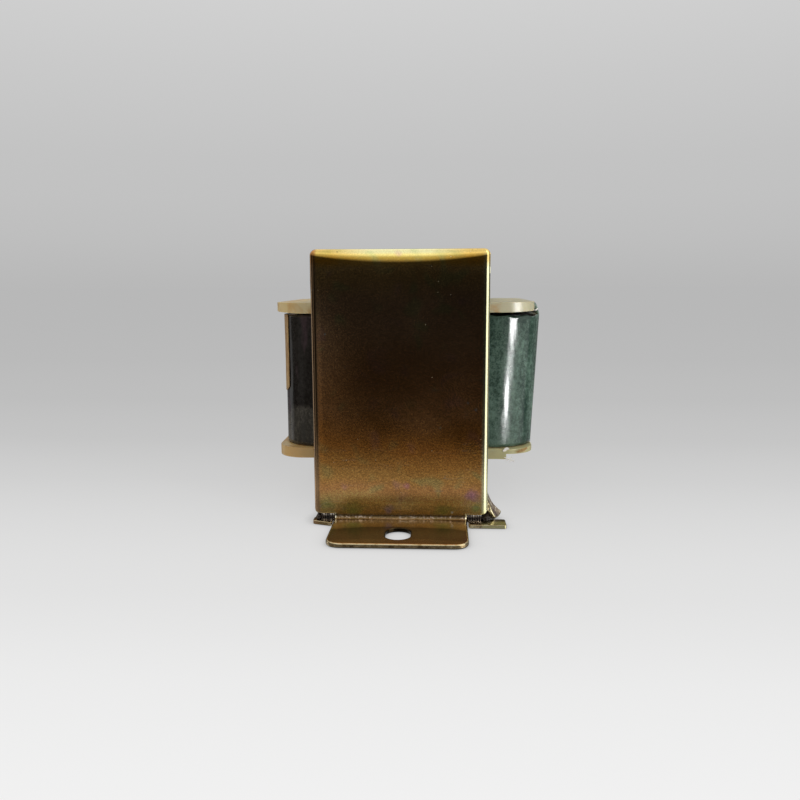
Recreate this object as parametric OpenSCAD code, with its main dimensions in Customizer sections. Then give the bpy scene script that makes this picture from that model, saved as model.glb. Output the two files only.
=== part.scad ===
// Chassis transformer with an EI core, held in a folded channel frame with two slotted feet.
// X runs through the lamination stack, Y along the core from foot to foot, Z up.
// The origin is on the mounting plane, in the middle of the core.

/* [Core] */
// Width of the centre leg, which sets the whole lamination
centre_leg = 22; // [16:1:32]
// Thickness of one lamination
lam_t = 0.5; // [0.35:0.05:0.65]
// Number of laminations in the stack
lam_count = 69; // [41:2:99]

/* [Channel frame] */
// Thickness of the frame sheet
sheet_t = 1; // [0.8:0.1:1.4]
// Gap between the stack and each side lip
side_fit = 0.1; // [0.05:0.05:0.4]
// Gap between the ends of the core and the end panels
end_fit = 0.45; // [0.3:0.05:0.8]
// Gap between the top of the core and the top panel
top_fit = 0.4; // [0.3:0.05:0.8]
// Inside radius of the folds between panels and side lips
fold_r = 0.3; // [0.2:0.1:0.8]
// Height of the top bend in the middle of the panel
bend_drop = 2.9; // [2.2:0.1:3.6]
// Depth of the top bend in the middle of the panel
bend_back = 1.9; // [1.5:0.1:2.2]
// Radius of the top bend where it is pinched at the corners
bend_pinch = 1.3; // [1.2:0.1:1.4]
// Width of the side lips, from the outside of the panel
lip_w = 5; // [3.5:0.5:8]
// Width of the mitre slot between top lips and end lips
mitre_w = 0.8; // [0.4:0.1:1.5]
// Height of the lower edge of the end panels beside the feet
panel_lift = 1.9; // [1.5:0.1:4]
// Height of the part of the front right lip that is splayed outwards
splay_h = 6.2; // [4:0.2:9]
// How far the splayed lip leans out at the fold
splay_near = 1.7; // [0.6:0.1:2.2]
// How far the splayed lip leans out at its free edge
splay_far = 3.4; // [2.2:0.1:4.5]

/* [Feet] */
// Width of each foot
foot_w = 28; // [18:1:32]
// Length of each foot, from the end panel
foot_l = 16; // [14:0.5:22]
// Radius of the foot's outer corners
foot_corner_r = 3; // [1:0.5:5]
// Radius of the bend between end panel and foot, on the outside
foot_bend_r = 0.8; // [0.4:0.1:1.2]
// Distance between the slot centres of the two feet
hole_spacing = 88; // [86:0.5:90]
// Width of the mounting slots
slot_w = 5; // [3.5:0.5:6]
// Least metal between a slot and the end of its foot
slot_rim = 0.9; // [0.5:0.1:2.5]
// Length of the mounting slots, end to end
slot_l = 7.2; // [6.2:0.2:8]

/* [Base plate] */
// Thickness of the base plate
plate_t = 0.8; // [0.5:0.1:1.2]
// Width of the base plate under the core
plate_w = 36.6; // [32:0.2:38]
// How far the plate's ears stand out past the end panels
ear_over = 3; // [1.5:0.1:4]
// How far the ears reach back under the end panels
ear_back = 1.2; // [0.5:0.1:3]
// Reach of the ears to the right of the middle
ear_right = 22.1; // [18.5:0.1:24]
// Reach of the ears to the left of the middle
ear_left = 18.5; // [18.5:0.1:22]
// How much further back the left ear's corner lies than the right one's
ear_skew = 1.9; // [0:0.1:2.4]
// Gap between the base plate and the bends of the feet
plate_gap = 0.3; // [0.2:0.05:0.6]

/* [Bobbin] */
// Gap between the core and the bobbin
bobbin_fit = 0.3; // [0.2:0.05:0.4]
// Wall of the bobbin tube
tube_t = 1; // [0.8:0.1:1.4]
// Thickness of the bobbin flanges inside the core window
flange_t = 1.1; // [0.8:0.1:1.5]
// Height of the lower flange above the floor of the window
bobbin_lift = 0.5; // [0.3:0.05:0.6]
// Gap between the upper flange and the top of the window
bobbin_head = 0.2; // [0.15:0.05:0.5]
// Reach of the flanges to the left and right of the bobbin's centre
flange_reach = 29.1; // [28.5:0.1:31]
// Sideways offset of the bobbin on the core
bobbin_shift = 0.25; // [0:0.05:0.3]
// Corner radius of the flanges
flange_r = 6; // [3:0.5:8]
// Height of the upper cheeks above the flange
upper_cheek_h = 1.5; // [0.8:0.1:2.5]
// Height of the lower cheeks under the flange
lower_cheek_h = 1.2; // [0.8:0.1:2]
// Gap between the stack and the cheeks
cheek_gap = 0.4; // [0.3:0.1:0.8]
// Width of the short lower cheek on the right, which leaves room for the wires
short_cheek_w = 5.5; // [3:0.5:8]

/* [Windings] */
// Build of the primary winding in the core window
primary_t = 4; // [3:0.1:4.4]
// Build of the secondary winding in the core window
secondary_t = 3.3; // [2.5:0.1:3.5]
// Thickness of the insulation between the windings
barrier_t = 0.3; // [0.2:0.05:0.4]
// Thickness of the paper wrap over the windings
paper_t = 0.25; // [0.15:0.05:0.3]
// Thickness of the outer tape
tape_t = 0.3; // [0.2:0.05:0.35]
// Gap between the ends of the windings and the flanges
coil_end_gap = 0.2; // [0.1:0.05:0.5]
// How far the coil stays inside the left end of the flanges
inset_left = 0.9; // [0.3:0.1:1.5]
// How far the coil stands out past the right end of the flanges, at the bottom
proud_low = 0.2; // [0:0.1:1]
// How far the coil stands out past the right end of the flanges, at the top
proud_high = 1.7; // [0.2:0.1:2.5]
// Corner radius of the outer wrap
coil_r = 9; // [7:0.5:10]
// Length of the paper strip over the tape on the left
strip_h = 17.6; // [10:0.2:24]
// Width of that paper strip
strip_w = 24; // [12:1:30]
// Thickness of that paper strip
strip_t = 0.3; // [0.2:0.05:0.5]

/* [Hidden] */
$fn = 48;

// Scrapless lamination: window and outer legs are half the centre leg wide
leg_w = centre_leg / 2;
window_h = 1.5 * centre_leg;
core_l = 3 * centre_leg;
core_h = window_h + 2 * leg_w;
stack = lam_t * lam_count;
core_z = plate_t;
core_top = core_z + core_h;
window_z = core_z + leg_w;

// Frame, inside and outside
inner_w = stack + 2 * side_fit;
outer_w = inner_w + 2 * sheet_t;
inner_l = core_l + 2 * end_fit;
outer_l = inner_l + 2 * sheet_t;
inner_top = core_top + top_fit;
frame_h = inner_top + sheet_t;
fold_out_r = fold_r + sheet_t;
panel_y = outer_l / 2;
foot_end = max(panel_y + foot_l, hole_spacing / 2 + slot_l / 2 + slot_rim);
foot_run = foot_end - panel_y;

// Bobbin
tube_x = stack / 2 + bobbin_fit + tube_t;
tube_y = centre_leg / 2 + bobbin_fit + tube_t;
bobbin_z = window_z + bobbin_lift;
bobbin_h = window_h - bobbin_lift - bobbin_head;
flange_y = centre_leg / 2 + leg_w - bobbin_fit - 0.1;
cheek_x = stack / 2 + cheek_gap;

// Coil, from the tube outwards
coil_z = bobbin_z + flange_t + coil_end_gap;
coil_h = bobbin_h - 2 * flange_t - 2 * coil_end_gap;
primary_out = primary_t;
barrier_out = primary_out + barrier_t;
secondary_out = barrier_out + secondary_t;
paper_out = secondary_out + paper_t;
tape_out = paper_out + tape_t;
window_build = tube_x + tape_out;
bulge_left = flange_reach - inset_left - window_build;
bulge_right_low = flange_reach + proud_low - window_build;
bulge_right_high = flange_reach + proud_high - window_build;
arc_steps = 6;

// ---------- channel frame ----------

// Semi-axes of the top bend at x: full in the middle and pinched towards the corners
function bend_at(x, full, pinch) = full - (full - pinch) * pow(abs(x) / (outer_w / 2), 2);

// One section of the wedge that rounds off a top edge, from the corner point outwards
function bend_section(x, y_face, z_face, inset) = let (
    a = bend_at(x, bend_back, bend_pinch) - inset,
    b = bend_at(x, bend_drop, bend_pinch) - inset
) [
    for (i = [0:8]) let (t = 90 * i / 8)
        [x, y_face + a - a * cos(t), z_face - b + b * sin(t)],
    [x, y_face + a, z_face + 2],
    [x, y_face - 2, z_face + 2],
    [x, y_face - 2, z_face - b]
];

// The wedge as one closed solid over the width of the frame
module bend_wedge(y_face, z_face, inset, half_w) {
    steps = 12;
    per = 12;
    points = [
        for (i = [0:steps])
            each bend_section(half_w * (2 * i / steps - 1), y_face, z_face, inset)
    ];
    sides = [
        for (i = [0:steps - 1], j = [0:per - 1]) let (
            a = i * per + j,
            b = i * per + (j + 1) % per
        ) each [[a, b + per, b], [a, a + per, b + per]]
    ];
    first = [for (j = [0:per - 1]) j];
    last = [for (j = [per - 1:-1:0]) steps * per + j];
    polyhedron(points, concat(sides, [first, last]), convexity = 4);
}

// Block with rounded edges and bent top edges, for the outside and the hollow
module bent_block(w, l, top, edge_r, inset) {
    difference() {
        intersection() {
            linear_extrude(top)
                rounded_rect(w, l, edge_r);
            rotate([90, 0, 0])
                linear_extrude(l + 2, center = true)
                    round_topped(w, top, edge_r);
        }
        for (s = [0, 180])
            rotate(s)
                bend_wedge(-l / 2, top, inset, w / 2 + 0.5);
    }
}

module rounded_rect(w, l, r) {
    union() {
        square([w - 2 * r, l], center = true);
        square([w, l - 2 * r], center = true);
        for (sx = [-1, 1], sy = [-1, 1])
            translate([sx * (w / 2 - r), sy * (l / 2 - r)])
                circle(r);
    }
}

// Tall rectangle from below the ground, rounded at its two top corners
module round_topped(w, top, r) {
    translate([-w / 2, -1])
        square([w, top + 1 - r]);
    translate([-w / 2 + r, 0])
        square([w - 2 * r, top]);
    for (s = [-1, 1])
        translate([s * (w / 2 - r), top - r])
            circle(r);
}

// Side view of one foot with its bend, drawn with Y to the right and Z up
module foot_profile() {
    r_out = foot_bend_r + sheet_t;
    translate([panel_y + foot_bend_r, 0])
        square([foot_run - foot_bend_r, sheet_t]);
    translate([panel_y - sheet_t, r_out])
        square([sheet_t, panel_lift + 1 - r_out]);
    intersection() {
        translate([panel_y + foot_bend_r, r_out])
            difference() {
                circle(r_out);
                circle(foot_bend_r);
            }
        translate([panel_y - sheet_t, 0])
            square(r_out);
    }
}

// Outline of one foot seen from above, with its round corners
module foot_outline() {
    translate([-foot_w / 2, panel_y - 5])
        square([foot_w, 5 + foot_run - foot_corner_r]);
    translate([-foot_w / 2 + foot_corner_r, foot_end - foot_corner_r - 1])
        square([foot_w - 2 * foot_corner_r, foot_corner_r + 1]);
    for (s = [-1, 1])
        translate([s * (foot_w / 2 - foot_corner_r), foot_end - foot_corner_r])
            circle(foot_corner_r);
}

module slot_outline() {
    for (s = [-1, 1])
        translate([0, s * (slot_l - slot_w) / 2])
            circle(d = slot_w);
    square([slot_w, slot_l - slot_w], center = true);
}

module foot() {
    difference() {
        intersection() {
            rotate([90, 0, 90])
                linear_extrude(foot_w, center = true)
                    foot_profile();
            linear_extrude(panel_lift + 1)
                foot_outline();
        }
        translate([0, hole_spacing / 2, -1])
            linear_extrude(sheet_t + 2)
                slot_outline();
    }
}

// Lower end of the front right lip, splayed out more at its free edge than at the fold
module splayed_lip() {
    rows = 6;
    top_z = plate_t + splay_h;
    near_y = -panel_y + fold_out_r;
    far_y = -panel_y + lip_w;
    function lean(i, amount) = amount * pow(i / rows, 1.7);
    function at(i, x, y, amount) = [x + lean(i, amount), y, top_z - splay_h * i / rows];
    points = [
        for (i = [0:rows])
            each [
                at(i, outer_w / 2 - sheet_t, near_y, splay_near),
                at(i, outer_w / 2 - sheet_t, far_y, splay_far),
                at(i, outer_w / 2, far_y, splay_far),
                at(i, outer_w / 2, near_y, splay_near)
            ]
    ];
    sides = [
        for (i = [0:rows - 1], j = [0:3]) let (a = 4 * i + j, b = 4 * i + (j + 1) % 4)
            each [[a, b + 4, b], [a, a + 4, b + 4]]
    ];
    polyhedron(points, concat(sides, [[0, 1, 2, 3], [for (j = [3:-1:0]) 4 * rows + j]]));
}

module channel_frame() {
    color("#b08a3c") {
        difference() {
            bent_block(outer_w, outer_l, frame_h, fold_out_r, 0);
            bent_block(inner_w, inner_l, inner_top, fold_r, sheet_t);
            // open underside, with the panels ending above the base plate
            translate([0, 0, panel_lift / 2])
                cube([outer_w + 2, outer_l + 2, panel_lift], center = true);
            // open sides between the lips
            translate([0, 0, (frame_h - lip_w) / 2])
                cube([outer_w + 2, outer_l - 2 * lip_w, frame_h - lip_w], center = true);
            mitre_slots();
            splay_room();
        }
        for (s = [0, 180])
            rotate(s)
                foot();
        splayed_lip();
    }
}

// Slots at 45 degrees that part the top lips from the end lips, and stop short of the folded corner
module mitre_slots() {
    run = (lip_w - fold_out_r - 0.5) * sqrt(2);
    for (sx = [-1, 1], sy = [-1, 1])
        translate([sx * outer_w / 2, sy * (panel_y - lip_w), frame_h - lip_w])
            rotate([-sy * 45, 0, 0])
                translate([0, 0, (run - 1) / 2])
                    cube([2 * (fold_out_r + 0.1), mitre_w, run + 1], center = true);
}

// Space for the splayed end of the front right lip
module splay_room() {
    translate([outer_w / 2 - sheet_t - 0.5, -panel_y + fold_out_r, 0])
        cube([sheet_t + 1, lip_w, plate_t + splay_h]);
}

// ---------- base plate ----------

// Outline of the plate, with an ear at each corner and a notch for each foot
module plate_outline() {
    out_y = -panel_y - ear_over;
    back_y = -panel_y + ear_back;
    notch_y = -panel_y + sheet_t + plate_gap;
    notch_x = foot_w / 2 + plate_gap;
    half = [
        [-plate_w / 2, back_y],
        [-ear_left, back_y],
        [-ear_left, out_y + ear_skew],
        [-notch_x, out_y + ear_skew / 4],
        [-notch_x, notch_y],
        [notch_x, notch_y],
        [notch_x, out_y],
        [ear_right, out_y],
        [ear_right, back_y],
        [plate_w / 2, back_y]
    ];
    polygon(concat(half, [for (i = [len(half) - 1:-1:0]) [half[i][0], -half[i][1]]]));
}

module base_plate() {
    color("#9a8650")
        linear_extrude(plate_t)
            plate_outline();
}

// ---------- core ----------

module e_profile() {
    difference() {
        translate([-core_l / 2, 0])
            square([core_l, core_h - leg_w]);
        for (s = [-1, 1])
            translate([s * (centre_leg + leg_w) / 2 - leg_w / 2, leg_w])
                square([leg_w, window_h + 1]);
    }
}

module i_profile() {
    translate([-core_l / 2, window_h + leg_w])
        square([core_l, leg_w]);
}

// Every second sheet of the stack, upright or turned over
module sheets(first, turned) {
    for (i = [first:2:lam_count - 1])
        translate([i * lam_t - stack / 2, 0, core_z + (turned ? core_h : 0)])
            rotate([90, 0, 90])
                scale([1, turned ? -1 : 1, 1])
                    linear_extrude(lam_t)
                        children();
}

module lower_e_laminations() {
    color("#6d6a66")
        sheets(0, false)
            e_profile();
}

module upper_i_laminations() {
    color("#8d8a85")
        sheets(0, false)
            i_profile();
}

module upper_e_laminations() {
    color("#6d6a66")
        sheets(1, true)
            e_profile();
}

module lower_i_laminations() {
    color("#8d8a85")
        sheets(1, true)
            i_profile();
}

// ---------- bobbin ----------

module flange_outline() {
    rounded_rect(2 * flange_reach, 2 * flange_y, flange_r);
}

module flange(z) {
    translate([0, 0, z])
        linear_extrude(flange_t)
            flange_outline();
}

// Thick part of a flange outside the stack; side is -1 or 1, width is measured from the stack
module cheek(side, z, h, width) {
    translate([0, 0, z])
        linear_extrude(h)
            intersection() {
                flange_outline();
                translate([side * (cheek_x + width / 2) - bobbin_shift, 0])
                    square([width, 3 * flange_y], center = true);
            }
}

module bobbin() {
    full = flange_reach + bobbin_shift - cheek_x;
    top_z = bobbin_z + bobbin_h;
    color("#e9dfb8")
        translate([bobbin_shift, 0, 0])
            difference() {
                union() {
                    translate([0, 0, bobbin_z])
                        linear_extrude(bobbin_h)
                            rounded_rect(2 * tube_x, 2 * tube_y, 0.6);
                    flange(bobbin_z);
                    flange(top_z - flange_t);
                    cheek(-1, top_z - 0.01, upper_cheek_h + 0.01, full);
                    cheek(1, top_z - 0.01, upper_cheek_h + 0.01, full);
                    cheek(-1, bobbin_z - lower_cheek_h, lower_cheek_h + 0.01, full);
                    cheek(1, bobbin_z - lower_cheek_h, lower_cheek_h + 0.01, short_cheek_w);
                }
                translate([0, 0, bobbin_z - 1])
                    linear_extrude(bobbin_h + 2)
                        square([2 * (tube_x - tube_t), 2 * (tube_y - tube_t)], center = true);
            }
}

// ---------- coil ----------

// One corner of a coil loop as an arc, from angle a to a + 90
function corner_arc(cx, cy, r, a, z) = [
    for (i = [0:arc_steps]) let (t = a + 90 * i / arc_steps) [cx + r * cos(t), cy + r * sin(t), z]
];

// Loop around the tube at height share k, built out by out in the window and more to the sides
function coil_loop(out, k) = let (
    share = out / tape_out,
    left = tube_x + out + bulge_left * share,
    right = tube_x + out + (bulge_right_low * (1 - k) + bulge_right_high * k) * share,
    half_y = tube_y + out,
    r = max(coil_r * share, 0.5),
    z = coil_z + coil_h * k
) concat(
    corner_arc(bobbin_shift + right - r, half_y - r, r, 0, z),
    corner_arc(bobbin_shift - left + r, half_y - r, r, 90, z),
    corner_arc(bobbin_shift - left + r, -half_y + r, r, 180, z),
    corner_arc(bobbin_shift + right - r, -half_y + r, r, 270, z)
);

// Closed ring between two loops, from the lower to the upper end of the coil
module coil_ring(inner, outer) {
    n = 4 * (arc_steps + 1);
    points = concat(
        coil_loop(outer, 0), coil_loop(outer, 1),
        coil_loop(inner, 1), coil_loop(inner, 0)
    );
    faces = [
        for (ring = [0:3], j = [0:n - 1]) let (
            a = ring * n + j,
            b = ring * n + (j + 1) % n,
            c = (ring + 1) % 4 * n + j,
            d = (ring + 1) % 4 * n + (j + 1) % n
        ) each [[a, c, d], [a, d, b]]
    ];
    polyhedron(points, faces, convexity = 6);
}

module primary_winding() {
    color("#9c4f22")
        coil_ring(0, primary_out);
}

module winding_barrier() {
    color("#e6d9a4")
        coil_ring(primary_out, barrier_out);
}

module secondary_winding() {
    color("#b4642c")
        coil_ring(barrier_out, secondary_out);
}

module paper_wrap() {
    color("#c9a066")
        coil_ring(secondary_out, paper_out);
}

module outer_tape() {
    color("#2f4a43")
        coil_ring(paper_out, tape_out);
}

module paper_strip() {
    x = bobbin_shift - tube_x - tape_out - bulge_left;
    color("#c9a066")
        translate([x - strip_t, -strip_w / 2, coil_z + coil_h - strip_h])
            cube([strip_t, strip_w, strip_h]);
}

channel_frame();
base_plate();
lower_e_laminations();
upper_i_laminations();
upper_e_laminations();
lower_i_laminations();
bobbin();
primary_winding();
winding_barrier();
secondary_winding();
paper_wrap();
outer_tape();
paper_strip();
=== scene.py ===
import math
import bmesh
import bpy
from mathutils import Matrix, Vector, noise


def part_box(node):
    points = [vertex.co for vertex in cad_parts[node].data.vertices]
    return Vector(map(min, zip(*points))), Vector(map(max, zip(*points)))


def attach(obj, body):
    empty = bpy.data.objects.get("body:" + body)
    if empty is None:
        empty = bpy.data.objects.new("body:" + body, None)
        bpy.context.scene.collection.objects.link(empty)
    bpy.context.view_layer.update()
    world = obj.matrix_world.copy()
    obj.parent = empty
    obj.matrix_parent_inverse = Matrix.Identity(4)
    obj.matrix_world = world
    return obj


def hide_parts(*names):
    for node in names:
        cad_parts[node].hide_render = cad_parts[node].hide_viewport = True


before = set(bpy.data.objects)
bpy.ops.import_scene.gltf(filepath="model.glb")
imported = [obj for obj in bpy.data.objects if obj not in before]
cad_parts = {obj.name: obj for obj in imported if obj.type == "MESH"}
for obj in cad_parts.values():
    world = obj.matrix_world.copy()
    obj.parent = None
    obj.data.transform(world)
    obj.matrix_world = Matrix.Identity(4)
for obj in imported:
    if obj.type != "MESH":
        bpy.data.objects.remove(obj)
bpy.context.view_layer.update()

mm = 0.001
scene = bpy.context.scene
scene.view_settings.view_transform = "Standard"


# Camera at a phone's height in front of one foot, a little to the right of the middle
camera = {
    "place": (8.26 * mm, -191.5 * mm, 50.54 * mm),
    "turn": -0.0525,    # radians to the right of +Y
    "tilt": 0.1521,     # radians down
    "roll": -0.0041,
    "lens": 34.65,
}


def makeCamera(values):
    turn, tilt, roll = values["turn"], values["tilt"], values["roll"]
    ahead = Vector((math.sin(turn) * math.cos(tilt), math.cos(turn) * math.cos(tilt), -math.sin(tilt)))
    side = Vector((math.cos(turn), -math.sin(turn), 0))
    up = side.cross(ahead)
    sideRolled = side * math.cos(roll) + up * math.sin(roll)
    upRolled = up * math.cos(roll) - side * math.sin(roll)
    data = bpy.data.cameras.new("frontCamera")
    data.sensor_width = 36
    data.lens = values["lens"]
    data.clip_start = 0.01
    obj = bpy.data.objects.new("frontCamera", data)
    scene.collection.objects.link(obj)
    turned = Matrix((sideRolled, upRolled, -ahead)).transposed().to_4x4()
    obj.matrix_world = Matrix.Translation(values["place"]) @ turned
    scene.camera = obj


makeCamera(camera)


def newMaterial(name):
    material = bpy.data.materials.new(name)
    material.use_nodes = True
    tree = material.node_tree
    return material, tree, tree.nodes["Principled BSDF"]


# Links an input to a value that is another node's output, and sets it to any other value
def feed(tree, target, values):
    for key, value in values.items():
        if isinstance(value, bpy.types.NodeSocket):
            tree.links.new(value, target.inputs[key])
        else:
            target.inputs[key].default_value = value


def node(tree, kind, values=None, **settings):
    made = tree.nodes.new("ShaderNode" + kind)
    for key, value in settings.items():
        setattr(made, key, value)
    feed(tree, made, values or {})
    return made


def calc(tree, operation, *values):
    return node(tree, "Math", dict(enumerate(values)), operation=operation).outputs["Value"]


# A value's place between two bounds, as the same place between two others
def remap(tree, value, low, high, toLow=0.0, toHigh=1.0, smooth=False):
    made = node(tree, "MapRange", {
        "Value": value, "From Min": low, "From Max": high, "To Min": toLow, "To Max": toHigh,
    }, interpolation_type="SMOOTHSTEP" if smooth else "LINEAR")
    return made.outputs["Result"]


def ramp(tree, value, stops, mode="EASE"):
    made = node(tree, "ValToRGB", {"Fac": value})
    made.color_ramp.interpolation = mode
    band = made.color_ramp.elements
    while len(band) < len(stops):
        band.new(0.5)
    for element, (place, colour) in zip(band, stops):
        element.position = place
        element.color = (*colour, 1)
    return made.outputs["Color"]


def grey(value):
    return (value, value, value)


# Mix nodes keep their colour sockets behind the float and vector ones
def mixColour(tree, first, second, factor=1.0, blend="MIX"):
    made = node(tree, "Mix", {"Factor": factor}, data_type="RGBA", blend_type=blend)
    feed(tree, made, {6: first, 7: second})
    return made.outputs[2]


def separate(tree, vector):
    return node(tree, "SeparateXYZ", {"Vector": vector}).outputs


# The place on the object, scaled along its axes, and the three parts of it
def objectPlace(tree, scale=(1, 1, 1)):
    place = node(tree, "TexCoord").outputs["Object"]
    scaled = node(tree, "Mapping", {"Vector": place, "Scale": scale}).outputs["Vector"]
    return scaled, separate(tree, scaled)


def clouds(tree, vector, scale, detail=2.0, roughness=0.5, distortion=0.0):
    return node(tree, "TexNoise", {
        "Vector": vector, "Scale": scale, "Detail": detail, "Roughness": roughness, "Distortion": distortion,
    }).outputs["Fac"]


def bumped(tree, height, distance, strength=1.0):
    made = node(tree, "Bump", {"Height": height, "Distance": distance, "Strength": strength})
    return made.outputs["Normal"]


# A group with one output; an input without a value of its own is a vector
def newGroup(name, inputs, output):
    group = bpy.data.node_groups.new(name, "ShaderNodeTree")
    for label, value in inputs.items():
        kind = "NodeSocketVector" if value is None else "NodeSocketFloat"
        socket = group.interface.new_socket(label, in_out="INPUT", socket_type=kind)
        if value is not None:
            socket.default_value = value
    group.interface.new_socket(output, in_out="OUTPUT", socket_type="NodeSocketFloat")
    return group, group.nodes.new("NodeGroupInput").outputs, group.nodes.new("NodeGroupOutput")


def useGroup(tree, group, values):
    return node(tree, "Group", values, node_tree=group).outputs[0]


# Small bright or dark specks, each in its own cell, and only in a share of the cells
def makeSpecks():
    group, given, out = newGroup(
        "scatteredSpecks", {"Vector": None, "Scale": 600.0, "Size": 0.2, "Share": 0.2}, "Mask")
    cells = node(group, "TexVoronoi", {"Vector": given["Vector"], "Scale": given["Scale"]})
    near = remap(group, cells.outputs["Distance"], 0.0, given["Size"], 1.0, 0.0, smooth=True)
    split = node(group, "SeparateColor", {"Color": cells.outputs["Color"]})
    chosen = calc(group, "LESS_THAN", split.outputs["Red"], given["Share"])
    feed(group, out, {"Mask": calc(group, "MULTIPLY", near, chosen)})
    return group


# Two sizes of grain as one height, for the surfaces that aren't quite smooth
def makeGrain():
    group, given, out = newGroup(
        "twoGrains", {"Vector": None, "Coarse": 120.0, "Fine": 1500.0, "Fine share": 0.5}, "Height")
    coarse = clouds(group, given["Vector"], given["Coarse"])
    fine = clouds(group, given["Vector"], given["Fine"], 3.0, 0.6)
    mixed = node(group, "Mix", {"Factor": given["Fine share"], 2: coarse, 3: fine})
    feed(group, out, {"Height": mixed.outputs[0]})
    return group


# Long thin scratches in two directions
def makeScratches():
    group, given, out = newGroup("thinScratches", {"Vector": None, "Scale": 40.0, "Width": 0.03}, "Mask")
    thin = []
    for turn, stretch in ((0.5, (1, 1, 9)), (-1.1, (1, 1, 14))):
        mapping = node(group, "Mapping", {
            "Vector": given["Vector"], "Rotation": (0, turn, 0), "Scale": stretch,
        })
        lines = clouds(group, mapping.outputs["Vector"], given["Scale"], 1.0)
        size = calc(group, "ABSOLUTE", calc(group, "SUBTRACT", lines, 0.62))
        thin.append(remap(group, size, 0.0, given["Width"], 1.0, 0.0))
    feed(group, out, {"Mask": calc(group, "MAXIMUM", *thin)})
    return group


# One soft round spot at a place
def makeSpot():
    group, given, out = newGroup(
        "softSpot", {"Vector": None, "Centre": None, "Radius": 0.002, "Strength": 1.0}, "Mask")
    warp = clouds(group, given["Vector"], 700.0)
    away = node(group, "VectorMath", {0: given["Vector"], 1: given["Centre"]}, operation="DISTANCE")
    size = calc(group, "MULTIPLY", given["Radius"], remap(group, warp, 0.3, 0.7, 0.6, 1.4))
    near = remap(group, away.outputs["Value"], 0.0, size, 1.0, 0.0, smooth=True)
    feed(group, out, {"Mask": calc(group, "MULTIPLY", near, given["Strength"])})
    return group


softSpot = makeSpot()
scatteredSpecks = makeSpecks()
twoGrains = makeGrain()
thinScratches = makeScratches()


def specksOf(tree, place, scale, size, share):
    return useGroup(tree, scatteredSpecks, {"Vector": place, "Scale": scale, "Size": size, "Share": share})


def grainOf(tree, place, coarse, fine, share):
    return useGroup(tree, twoGrains, {"Vector": place, "Coarse": coarse, "Fine": fine, "Fine share": share})


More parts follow.
